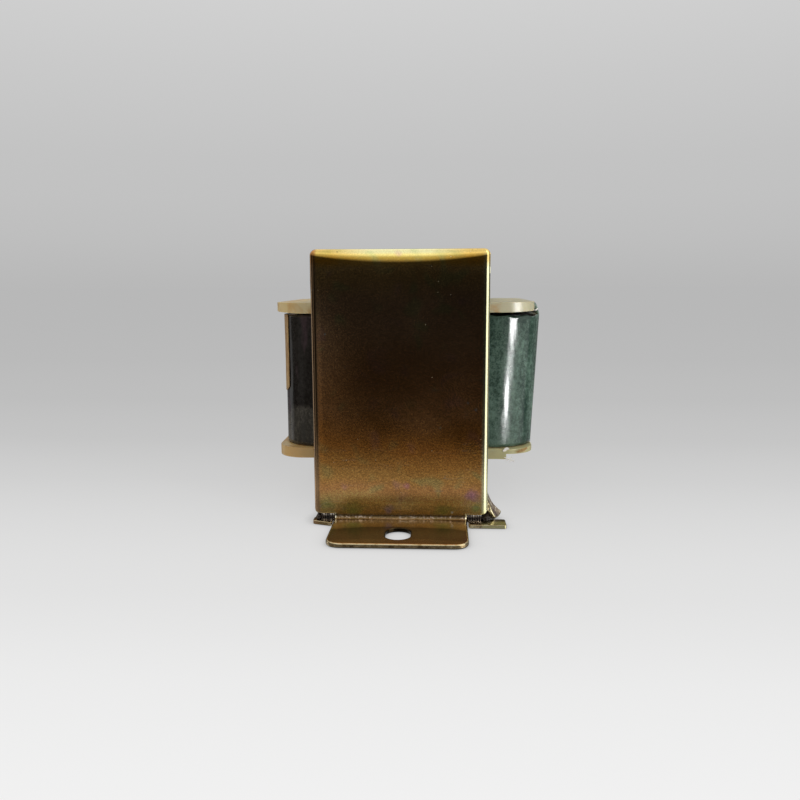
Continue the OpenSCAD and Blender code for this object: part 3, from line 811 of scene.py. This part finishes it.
# Rounds the foot's corners and the slot's ends
def footPlace(v, x, row):
    kind, d, side = row
    if kind != "foot":
        return x, row
    inX, inD = v["footHalf"] - v["footCorner"], v["footLength"] - v["footCorner"]
    e = d - v["slotMiddle"]
    slotHalf, straight = v["slotHalf"], v["slotStraight"]
    if abs(x) > inX and d > inD:
        a, b = towardsDisc((abs(x) - inX) / v["footCorner"], (d - inD) / v["footCorner"])
        x = math.copysign(inX + v["footCorner"] * a, x)
        d = inD + v["footCorner"] * b
    elif abs(x) <= slotHalf + touching and straight < abs(e) <= straight + slotHalf + touching:
        a, b = towardsDisc(abs(x) / slotHalf, (abs(e) - straight) / slotHalf)
        x = math.copysign(slotHalf * a, x)
        d = v["slotMiddle"] + math.copysign(straight + slotHalf * b, e)
    return x, (kind, d, side)


# The lower end of the front right lip is sprung outwards
def splay(v, point, depth):
    down = (v["splayTop"] - point.z) / (v["splayTop"] - v["panelLift"])
    point.x += (v["splayNear"] + (v["splayFar"] - v["splayNear"]) * depth) * max(down, 0) ** 1.7
    point.z = v["splayTop"] - down * (v["splayTop"] - v["splayFloor"])
    point.z += v["tipRound"] * max(0, (depth - 0.6) / 0.4) ** 2 * max(0, (down - 0.6) / 0.4)


# Place of a corner of the sheet, from its column and row
def channelPlace(v, column, row):
    kind, value, side = column
    r, lift = v["foldRadius"], v["panelLift"]
    if kind == "flat":
        x, row = footPlace(v, side * value, row)
        return Vector((x, *channelProfile(v, row, x)[:2]))
    angle = math.radians(value) if kind == "fold" else math.pi / 2
    x = side * (v["flatX"] + r * math.sin(angle))
    y, z, ny, nz = channelProfile(v, row, x)
    if kind == "fold":
        across = r - r * math.cos(angle)
        point = Vector((x, y - ny * across, z - nz * across))
        if row[0] == "panel":
            near = max(0, 1 - (row[1] - lift) / (2 * v["cornerRise"]))
            point.z += v["cornerRise"] * (value / 90) ** 2 * near
        return point
    depth = value / v["lipRun"]
    point = Vector((x, y - ny * (r + value), z - nz * (r + value)))
    short = value + v["mitre"] * min(1, depth * 4)
    if row[0] == "panel":
        full = v["top"] - v["bendPinch"] - lift
        point.z = lift + (point.z - lift) * (full - short) / full
        if side > 0 and row[2] < 0 and point.z <= v["splayTop"]:
            splay(v, point, depth)
    elif row[0] == "top":
        full = panelY - v["bendPinch"]
        point.y *= (full - short) / full
    return point


# Whether the sheet is cut away between these columns and rows
def cutAway(v, columns, rows):
    beside = any(kind != "flat" or value > v["footHalf"] + touching for kind, value, side in columns)
    low = any(kind in ("foot", "bend") or (kind == "panel" and value < v["panelLift"] - touching)
              for kind, value, side in rows)
    slot = v["slotLength"] / 2 + touching
    alongSlot = all(kind == "foot" and abs(value - v["slotMiddle"]) <= slot for kind, value, side in rows)
    acrossSlot = all(kind == "flat" and value <= v["slotHalf"] + touching for kind, value, side in columns)
    onLip = any(kind == "lip" for kind, value, side in columns)
    onCrown = any(kind == "crown" for kind, value, side in rows)
    return (beside and low) or (alongSlot and acrossSlot) or (onLip and onCrown)


# The whole channel frame as one folded sheet
def makeChannelFrame(v):
    columns, rows = channelColumns(v), channelRows(v)
    nCols, nRows = len(columns) - 1, len(rows) - 1
    bm = bmesh.new()
    bmesh.ops.create_grid(bm, x_segments=nCols, y_segments=nRows, size=1)
    cell = {}
    for vert in bm.verts:
        cell[vert] = (round((vert.co.x + 1) / 2 * nCols), round((vert.co.y + 1) / 2 * nRows))
    gone = []
    for face in bm.faces:
        across = sorted({cell[vert][0] for vert in face.verts})
        along = sorted({cell[vert][1] for vert in face.verts})
        if cutAway(v, [columns[i] for i in across], [rows[i] for i in along]):
            gone.append(face)
    for vert in bm.verts:
        i, j = cell[vert]
        vert.co = channelPlace(v, columns[i], rows[j])
    bmesh.ops.delete(bm, geom=gone, context="FACES")
    obj = addPiece("channelFrame", bm, passivatedSteel, ["channel_frame"])
    finishSheet(obj, v["sheet"], v["rim"])


makeChannelFrame(channel)
print("channel frame made")


plate = {
    "width": 36.6 * mm,
    "earOver": 3.0 * mm,
    "earBack": 1.2 * mm,
    "earSkew": 1.9 * mm,
    "notchGap": 0.3 * mm,
    "rim": 0.10 * mm,
    "corner": 0.5 * mm,
}


# Flat base plate with an ear at each corner and a notch for each foot
def makeBasePlate(v):
    low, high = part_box("base_plate")
    outY = panelY + v["earOver"]
    backY = panelY - v["earBack"]
    notchY = panelY - channel["sheet"] - v["notchGap"]
    notchX = channel["footWidth"] / 2 + v["notchGap"]
    half = [
        (-v["width"] / 2, -backY), (low.x, -backY), (low.x, -outY + v["earSkew"]),
        (-notchX, -outY + v["earSkew"] / 4), (-notchX, -notchY), (notchX, -notchY),
        (notchX, -outY), (high.x, -outY), (high.x, -backY), (v["width"] / 2, -backY),
    ]
    outline = half + [(x, -y) for x, y in reversed(half)]
    bm = bmesh.new()
    verts = [bm.verts.new((x, y, low.z)) for x, y in outline]
    bm.faces.new(verts)
    bmesh.ops.bevel(bm, geom=verts, affect="VERTICES", offset=v["corner"], offset_type="OFFSET",
                    segments=3, profile=0.5, material=-1)
    raised = bmesh.ops.extrude_face_region(bm, geom=list(bm.faces))
    bmesh.ops.translate(bm, vec=(0, 0, high.z - low.z), verts=verticesOf(raised))
    bmesh.ops.recalc_face_normals(bm, faces=bm.faces)
    obj = addPiece("basePlate", bm, shadedPlateSteel, ["base_plate"])
    obj.data.materials.append(rubbedSteel)
    roundEdges(obj, v["rim"], segments=3, material=1)


makeBasePlate(plate)
print("base plate made")


moulding = {
    "merge": 0.001 * mm,
    "flat": math.radians(1),        # faces that meet at less are one
    "sharp": math.radians(40),      # edges that meet at more are rounded
    "round": 0.5 * mm,
    "segments": 3,
    "underside": 43.3 * mm,    # of the upper flange
    "thick": 1.1 * mm,
    "freeFrom": 17.65 * mm,
    "reach": 29.1 * mm,
    # how far the underside is raised near the frame and at the end, on the left and on the right
    "lift": ((0.0, 0.60 * mm), (0.22 * mm, 0.60 * mm)),
    "backShare": 0.5,
}


# The bobbin, with the rounded edges of a moulding
def makeBobbin(v):
    bm = bmesh.new()
    bm.from_mesh(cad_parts["bobbin"].data)
    bmesh.ops.remove_doubles(bm, verts=bm.verts, dist=v["merge"])
    bmesh.ops.dissolve_limit(bm, angle_limit=v["flat"], verts=bm.verts, edges=bm.edges)
    sharp = [edge for edge in bm.edges
             if len(edge.link_faces) == 2 and edge.calc_face_angle(0) > v["sharp"]]
    bmesh.ops.bevel(bm, geom=sharp, affect="EDGES", offset=v["round"], offset_type="OFFSET",
                    segments=v["segments"], profile=0.5, material=-1, clamp_overlap=True)
    underside = v["underside"]
    for vert in bm.verts:
        out = (abs(vert.co.x) - v["freeFrom"]) / (v["reach"] - v["freeFrom"])
        if out > 0 and underside < vert.co.z < underside + v["thick"] / 2:
            near, far = v["lift"][vert.co.x > 0]
            vert.co.z += (near + (far - near) * min(out, 1) ** 1.4) * (1 if vert.co.y < 0 else v["backShare"])
    obj = addPiece("bobbinMoulding", bm, ivoryNylon, ["bobbin"])
    weighted = obj.modifiers.new("normals", "WEIGHTED_NORMAL")
    weighted.keep_sharp = True
    return obj


bobbin = makeBobbin(moulding)
print("bobbin made")


coil = {
    "corner": 9 * mm,
    "taper": 1.5 * mm,      # how much less the right side stands out at the bottom
    "around": 168,
    "rows": 44,
    "tapeWall": 0.3 * mm,
    "paperWall": 0.25 * mm,
    "wrinkle": 0.10 * mm,
    "rimWave": 0.14 * mm,
    "fray": 0.8 * mm,       # how far the top edge is frayed at the right front
    "frayFrom": Vector((19 * mm, -10 * mm)),
    "fraySoft": 3 * mm,
    "lip": 2.3 * mm,        # how far the tape's upper edge stands up at the right side
    "lipMiddle": -3 * mm,
    "lipHalf": 9 * mm,
    "gap": 0.05 * mm,       # between the tape and the paper
}


# Place and outward normal on a rounded rectangle, share s of the way round from the right
def roundedLoop(s, left, right, halfY, r):
    straightX, straightY = right - left - 2 * r, 2 * (halfY - r)
    arc = math.pi * r / 2
    total = 2 * straightX + 2 * straightY + 4 * arc
    run = (s % 1) * total
    legs = (
        ("line", straightY / 2, (right, 0), (0, 1)), ("arc", arc, (right - r, halfY - r), 0),
        ("line", straightX, (right - r, halfY), (-1, 0)), ("arc", arc, (left + r, halfY - r), 90),
        ("line", straightY, (left, halfY - r), (0, -1)), ("arc", arc, (left + r, -halfY + r), 180),
        ("line", straightX, (left + r, -halfY), (1, 0)), ("arc", arc, (right - r, -halfY + r), 270),
        ("line", straightY / 2, (right, -halfY + r), (0, 1)),
    )
    for kind, length, start, way in legs:
        if run <= length + 1e-12:
            break
        run -= length
    if kind == "line":
        return start[0] + way[0] * run, start[1] + way[1] * run, way[1], -way[0]
    angle = math.radians(way) + run / r
    return start[0] + r * math.cos(angle), start[1] + r * math.sin(angle), math.cos(angle), math.sin(angle)


# A wrap round the coil, inset by its distance from the outside of the tape
def makeWrap(name, inset, wall, lowZ, highZ, roughness, material, nodes, flap=0.0):
    v = coil
    bm = bmesh.new()
    bmesh.ops.create_circle(bm, cap_ends=False, segments=v["around"], radius=1)
    ring = list(bm.edges)
    for row in range(v["rows"]):
        made = bmesh.ops.extrude_edge_only(bm, edges=ring)
        ring = [part for part in made["geom"] if isinstance(part, bmesh.types.BMEdge)]
        bmesh.ops.translate(bm, vec=(0, 0, 1), verts=verticesOf(made))
    for vert in bm.verts:
        s = math.atan2(vert.co.y, vert.co.x) / (2 * math.pi) % 1
        k = vert.co.z / v["rows"]
        right = tapeHigh.x - v["taper"] * (1 - k) - inset
        x, y, nx, ny = roundedLoop(s, tapeLow.x + inset, right, tapeHigh.y - inset, v["corner"] - inset)
        z = lowZ + (highZ - lowZ) * k
        crease = noise.noise(Vector((x * 260, y * 260, z * 60))) * 0.7
        crease += noise.noise(Vector((x * 700, y * 700, z * 130))) * 0.3
        sag = -roughness * (0.6 + crease)
        rimWave = v["rimWave"] * noise.noise(Vector((x * 150, y * 150, k * 3)))
        edge = (2 * k - 1) ** 6
        vert.co = (x + nx * sag, y + ny * sag, z - abs(rimWave) * math.copysign(edge, k - 0.5))
        if k > 0.5:
            frayed = min(1, max(0, (x - v["frayFrom"].x) / v["fraySoft"]))
            frayed *= min(1, max(0, (v["frayFrom"].y - y) / v["fraySoft"]))
            threads = abs(noise.noise(Vector((x * 330, y * 330, 4)))) ** 0.7
            vert.co.z -= v["fray"] * frayed * threads * edge
        fromMiddle = y - v["lipMiddle"]
        if flap and x > 0 and abs(fromMiddle) < v["lipHalf"] and k > 0.9:
            lift = math.cos(fromMiddle / v["lipHalf"] * math.pi / 2) * (k - 0.9) / 0.1
            vert.co.z += flap * lift * min(1, max(0, (x - tapeHigh.x + 1.0 * mm) / (0.6 * mm)))
    facingOut(bm)
    obj = addPiece(name, bm, material, nodes)
    thicken(obj, wall)
    return obj


tapeLow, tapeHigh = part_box("outer_tape")
outerTape = makeWrap("outerTape", 0, coil["tapeWall"], tapeLow.z, tapeHigh.z, coil["wrinkle"], greenFilm,
                     ["outer_tape"], flap=coil["lip"])
makeWrap("paperWrap", coil["tapeWall"] + coil["gap"], coil["paperWall"] - coil["gap"],
         tapeLow.z - 0.15 * mm, tapeHigh.z - 0.25 * mm, coil["wrinkle"] * 0.6, tanPaper,
         ["paper_wrap"])
print("wraps made")


strip = {
    "wall": 0.14 * mm,
    "reachFront": 5.5 * mm,    # how far it follows the corner at the front
    "stand": 0.12 * mm,
    "lift": 0.08 * mm,
    "waves": 0.12 * mm,
    "ragged": 0.25 * mm,
    "cornerCut": 2.0 * mm,
}


# Tan paper strip over the tape on the left, its front edge round the corner and a little lifted
def makePaperStrip(v):
    low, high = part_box("paper_strip")
    tapeX, tapeY = tapeLow.x, -tapeHigh.y
    r = coil["corner"]
    straight = -tapeY - r
    bm = bmesh.new()
    bmesh.ops.create_grid(bm, x_segments=60, y_segments=34, size=1)
    for vert in bm.verts:
        k = (vert.co.y + 1) / 2
        front = straight + v["reachFront"] - v["cornerCut"] * max(0, 1 - k * 12) ** 2
        run = -front + (vert.co.x + 1) / 2 * (front + high.y)
        z = low.z + (high.z - low.z) * k
        curl = v["stand"] + abs(noise.noise(Vector((run * 120, z * 120, 3)))) * v["waves"]
        curl += v["lift"] * max(0, (-run - straight) / v["reachFront"]) ** 2
        if run > -straight:
            x, y, nx, ny = tapeX, run, -1, 0
        else:
            angle = (-run - straight) / r
            x, y = tapeX + r - r * math.cos(angle), -straight - r * math.sin(angle)
            nx, ny = -math.cos(angle), -math.sin(angle)
        ragged = noise.noise(Vector((run * 400, 0, 0))) * v["ragged"]
        vert.co = (x + nx * curl, y + ny * curl, z + (abs(ragged) if k < 0.02 else 0))
    facingOut(bm)
    thicken(addPiece("paperStrip", bm, tanPaper, ["paper_strip"]), v["wall"])


makePaperStrip(strip)
print("paper strip made")


drips = {
    "places": (    # x beside the core, y in front of it, z above the plate, then half sizes, in mm
        (0.85, 0.3, 0.35, 1.0, 2.3, 0.75),
        (-0.15, 0.2, 0.30, 0.5, 2.0, 0.70),
    ),
    "lumps": 0.35,
}


# Dried varnish run out between the core and the lips, its near black lumps also painting the shade in the
# frame's lower corners
def makeDrips(v):
    bm = bmesh.new()
    for x, y, z, wide, deep, tall in v["places"]:
        for vert in bmesh.ops.create_icosphere(bm, subdivisions=4, radius=1)["verts"]:
            swell = 1 + v["lumps"] * noise.noise(vert.co * 1.8 + Vector((x, y, z)))
            vert.co = (math.copysign(coreHigh.x, x) + (x + vert.co.x * wide * swell) * mm,
                       coreLow.y + (y + vert.co.y * deep * swell) * mm,
                       coreLow.z + max(z + vert.co.z * tall * swell, 0.0) * mm)
    addPiece("varnishDripsInShade", bm, varnishAndShade)


makeDrips(drips)
print("varnish made")


shreds = {
    "thick": 0.07 * mm,
    "stand": 0.12 * mm,
    "curl": 0.3 * mm,
    # y from the bobbin's front, then x from the tape's right side, z from its lower edge and width, in mm
    "white": (
        (0.0, ((-8.7, -0.65, 0.3), (-8.2, -0.35, 0.65), (-7.8, -0.05, 0.65), (-7.3, -0.10, 0.2))),
        (0.0, ((-8.4, -2.0, 0.10), (-7.7, -2.3, 0.30), (-7.0, -2.5, 0.28), (-6.0, -3.1, 0.10))),
        (0.0, ((-8.0, -2.9, 0.08), (-7.2, -2.4, 0.26), (-6.4, -1.9, 0.08))),
        (0.0, ((-7.3, -3.2, 0.08), (-6.7, -2.8, 0.22), (-6.0, -2.6, 0.08))),
        (7.6, ((-1.5, 30.5, 0.12), (-1.2, 30.5, 0.34), (-0.9, 30.7, 0.34), (-0.7, 30.9, 0.12))),
    ),
    "tan": (
        (0.0, ((-5.6, -0.85, 0.3), (-4.9, -0.6, 0.65), (-4.1, -0.3, 0.7), (-3.3, 0.2, 0.3))),
    ),
}


# Scraps of paper caught under the right end of the tape
def makePaperShreds(name, paths, material, v):
    bm = bmesh.new()
    for back, path in paths:
        for vert in bmesh.ops.create_grid(bm, x_segments=12, y_segments=3, size=1)["verts"]:
            along = (vert.co.x + 1) / 2 * (len(path) - 1)
            i = min(int(along), len(path) - 2)
            x, z, width = (a + (b - a) * (along - i) for a, b in zip(path[i], path[i + 1]))
            dx, dz = path[i + 1][0] - path[i][0], path[i + 1][1] - path[i][1]
            side = vert.co.y * width / 2 / math.hypot(dx, dz)
            x, z = (x - dz * side) * mm, (z + dx * side) * mm
            out = v["stand"] + v["curl"] * abs(noise.noise(Vector((x * 900, z * 900, 0))))
            vert.co = (tapeHigh.x + x, bobbinFront + back * mm - out, tapeLow.z + z)
    bmesh.ops.recalc_face_normals(bm, faces=bm.faces)
    thicken(addPiece(name, bm, material), v["thick"])


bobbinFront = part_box("bobbin")[0].y
makePaperShreds("paperShreds", shreds["white"], whitePaper, shreds)
makePaperShreds("tanShred", shreds["tan"], tanPaper, shreds)
print("paper scraps made")


# Carried-over nodes get their finish
def dress(nodeName, material):
    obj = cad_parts[nodeName]
    obj.data.materials.clear()
    obj.data.materials.append(material)


stack = {
    "merge": 0.001 * mm,
    "uneven": 0.14 * mm,
    "raised": 0.10 * mm,
}


# The sheets of one stack, each a little out of line with the next
def makeStack(pieceName, nodeName, v):
    bm = bmesh.new()
    bm.from_mesh(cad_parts[nodeName].data)
    bmesh.ops.remove_doubles(bm, verts=bm.verts, dist=v["merge"])
    todo = set(bm.verts)
    while todo:
        sheet, edge = [], [todo.pop()]
        while edge:
            vert = edge.pop()
            sheet.append(vert)
            for near in vert.link_edges:
                other = near.other_vert(vert)
                if other in todo:
                    todo.remove(other)
                    edge.append(other)
        across = sum(vert.co.x for vert in sheet) / len(sheet)
        seed = Vector((round(across / mm * 4) * 1.7, len(nodeName) * 0.37, 0))
        shift = v["uneven"] * max(-1, min(1, 2.2 * noise.noise(seed)))
        rise = v["raised"] * abs(noise.noise(seed + Vector((0, 0, 5.3))))
        bmesh.ops.translate(bm, vec=(0, shift, rise), verts=sheet)
    obj = addPiece(pieceName, bm, laminationSteel, [nodeName])
    obj.data.shade_flat()
    return obj


stacks = (
    makeStack("lowerELaminations", "lower_e_laminations", stack),
    makeStack("upperILaminations", "upper_i_laminations", stack),
    makeStack("upperELaminations", "upper_e_laminations", stack),
    makeStack("lowerILaminations", "lower_i_laminations", stack),
)
dress("primary_winding", primaryWire)
dress("winding_barrier", barrierPaper)
dress("secondary_winding", secondaryWire)
print("core and windings dressed")


studio = {
    "floor": (0.10, 0.10, 0.10),
    "floorSize": 8.0,
    "ambient": (0.50, 0.50, 0.505),
    "glow": 1.0,
    "contact": 3.5 * mm,
    "contactShadowTone": 0.30,
    "pool": (    # distance along Y, glow of the floor there
        (-0.900, 0.429), (-0.400, 0.540), (-0.240, 0.730), (-0.170, 0.800), (-0.125, 0.800), (-0.108, 0.767),
        (-0.099, 0.750), (-0.088, 0.717), (-0.074, 0.683), (-0.056, 0.662), (-0.031, 0.617),
        (0.002, 0.553), (0.053, 0.486), (0.138, 0.447), (0.311, 0.430), (0.850, 0.429),
    ),
    "backdrop": (    # upward part of the direction, brightness there
        (0.0, 0.483), (0.053, 0.516), (0.10, 0.536), (0.149, 0.546), (0.239, 0.587), (0.321, 0.633),
    ),
    "mirrored": (    # the same for what shiny pieces see
        (-1.0, 0.05), (-0.55, 0.07), (-0.38, 0.30), (-0.30, 0.38), (-0.255, 0.38), (-0.224, 0.019),
        (-0.12, 0.012), (0.05, 0.011), (0.14, 0.05), (0.24, 0.28), (0.35, 0.46), (0.60, 0.66), (0.78, 1.10),
        (1.0, 0.85),
    ),
}
# Bright shapes that only shiny pieces see: azimuth to the right of -Y, its half width and softness,
# lower and upper elevation and softness, all in degrees, and the brightness
windows = {
    "rightWall": (74, 18, 9, -28, 60, 10, 1.25),
    "leftSill": (-17, 6, 5, -14, -4, 3, 0.07),
    "leftGlint": (-66, 5, 7, -40, 60, 10, 0.12),
    "backRight": (140, 20, 14, -10, 45, 12, 0.16),
    "leftPane": (-115, 6, 7, -40, 60, 10, 0.55),
    "backLeft": (-150, 16, 12, -10, 45, 12, 0.12),
}


# The floor glows with a painted pool of light along Y, dimmed near the object by a painted contact shadow
# from ambient occlusion
def makeFloor(v):
    bm = bmesh.new()
    bmesh.ops.create_grid(bm, x_segments=2, y_segments=2, size=v["floorSize"])
    material, tree, shader = newMaterial("paleFloor")
    obj = meshObject("studioFloor", bm, material)
    axes = objectPlace(tree)[1]
    nearY, farY = v["pool"][0][0], v["pool"][-1][0]
    stops = tuple(((y - nearY) / (farY - nearY), grey(tone)) for y, tone in v["pool"])
    pool = ramp(tree, remap(tree, axes["Y"], nearY, farY), stops, "LINEAR")
    close = node(tree, "AmbientOcclusion", {"Distance": v["contact"]}, samples=12)
    shade = remap(tree, close.outputs["AO"], 0.0, 1.0, v["contactShadowTone"], 1.0)
    feed(tree, shader, {
        "Base Color": (*v["floor"], 1), "Roughness": 0.9, "Specular IOR Level": 0.0,
        "Emission Color": mixColour(tree, pool, shade, blend="MULTIPLY"), "Emission Strength": v["glow"],
    })
    obj.visible_glossy = False


# 1 from low to high degrees, falling off over soft
def band(tree, angle, low, high, soft):
    start = remap(tree, angle, math.radians(low - soft), math.radians(low), smooth=True)
    end = remap(tree, angle, math.radians(high + soft), math.radians(high), smooth=True)
    return calc(tree, "MULTIPLY", start, end)


def makeWorld(v):
    world = bpy.data.worlds.new("studioWorld")
    scene.world = world
    world.use_nodes = True
    tree = world.node_tree
    axes = separate(tree, node(tree, "TexCoord").outputs["Generated"])
    upward = remap(tree, axes["Z"], -1.0, 1.0)
    backdrop, mirrored = (
        ramp(tree, upward, tuple(((height + 1) / 2, grey(tone)) for height, tone in v[label]), "LINEAR")
        for label in ("backdrop", "mirrored")
    )
    azimuth = calc(tree, "ARCTAN2", axes["X"], calc(tree, "MULTIPLY", axes["Y"], -1.0))
    elevation = calc(tree, "ARCSINE", axes["Z"])
    for middle, half, soft, low, high, fade, bright in windows.values():
        wide = band(tree, azimuth, middle - half, middle + half, soft)
        shape = calc(tree, "MULTIPLY", wide, band(tree, elevation, low, high, fade))
        mirrored = mixColour(tree, mirrored, calc(tree, "MULTIPLY", shape, bright), blend="ADD")
    rays = node(tree, "LightPath").outputs
    plain = mixColour(tree, (*v["ambient"], 1), mirrored, rays["Is Glossy Ray"])
    feed(tree, tree.nodes["Background"], {"Color": mixColour(tree, plain, backdrop, rays["Is Camera Ray"])})


# Name, place, aim, size, power and colour
softboxes = (
    ("overheadBox", (0.0, -0.10, 0.50), (0, 0, 0.05), (0.55, 0.45), 0.8, (1.0, 0.98, 0.93)),
    ("rightFrontBox", (0.34, -0.30, 0.14), (0.02, 0, 0.03), (0.06, 0.30), 0.5, (1.0, 1.0, 1.0)),
)
# The same for a lamp that lights only the ends of the core's sheets, in the gap under the frame
combLamp = ("combLamp", (0.03, -0.25, 0.062), (0.0, -0.033, 0.0015), (0.02, 0.02), 0.34, (1, 0.97, 0.92))
# Small lamps whose glint shows in one piece: name, the piece, place, aim, size and brightness
glints = (
    ("windowGlint", outerTape, (0.1110, -0.1275, 0.0530), (0.0225, -0.0204, 0.043), (0.072, 0.062), 34.0),
    ("flangeGlint", bobbin, (0.1110, -0.1275, 0.0530), (0.0225, -0.0204, 0.043), (0.072, 0.062), 22.0),
    ("windowGlow", outerTape, (0.1090, -0.1292, 0.0260), (0.0225, -0.0204, 0.030), (0.050, 0.046), 10.0),
    ("lampGlint", outerTape, (0.0647, -0.0881, 0.0106), (0.0223, -0.0203, 0.023), (0.018, 0.014), 64.0),
)


def makeLamp(name, place, aim, size, power, colour, shape="RECTANGLE"):
    data = bpy.data.lights.new(name, "AREA")
    data.shape = shape
    data.size, data.size_y = size
    data.energy = power
    data.color = colour
    obj = bpy.data.objects.new(name, data)
    scene.collection.objects.link(obj)
    obj.location = place
    obj.rotation_euler = (Vector(aim) - Vector(place)).to_track_quat("-Z", "Y").to_euler()
    obj.visible_camera = False
    return obj


def lightOnly(lamp, pieces):
    alone = bpy.data.collections.new(lamp.name + "Pieces")
    for piece in pieces:
        alone.objects.link(piece)
    lamp.light_linking.receiver_collection = alone


def makeLamps():
    for values in softboxes:
        makeLamp(*values).visible_glossy = False
    lightOnly(makeLamp(*combLamp), stacks)
    for name, piece, place, aim, size, bright in glints:
        power = bright * math.pi * size[0] * size[1]
        lamp = makeLamp(name, place, aim, size, power, (1, 1, 1), "ELLIPSE")
        lamp.visible_diffuse = False
        lightOnly(lamp, (piece,))


makeFloor(studio)
makeWorld(studio)
makeLamps()
print("studio made")

bpy.context.view_layer.update()
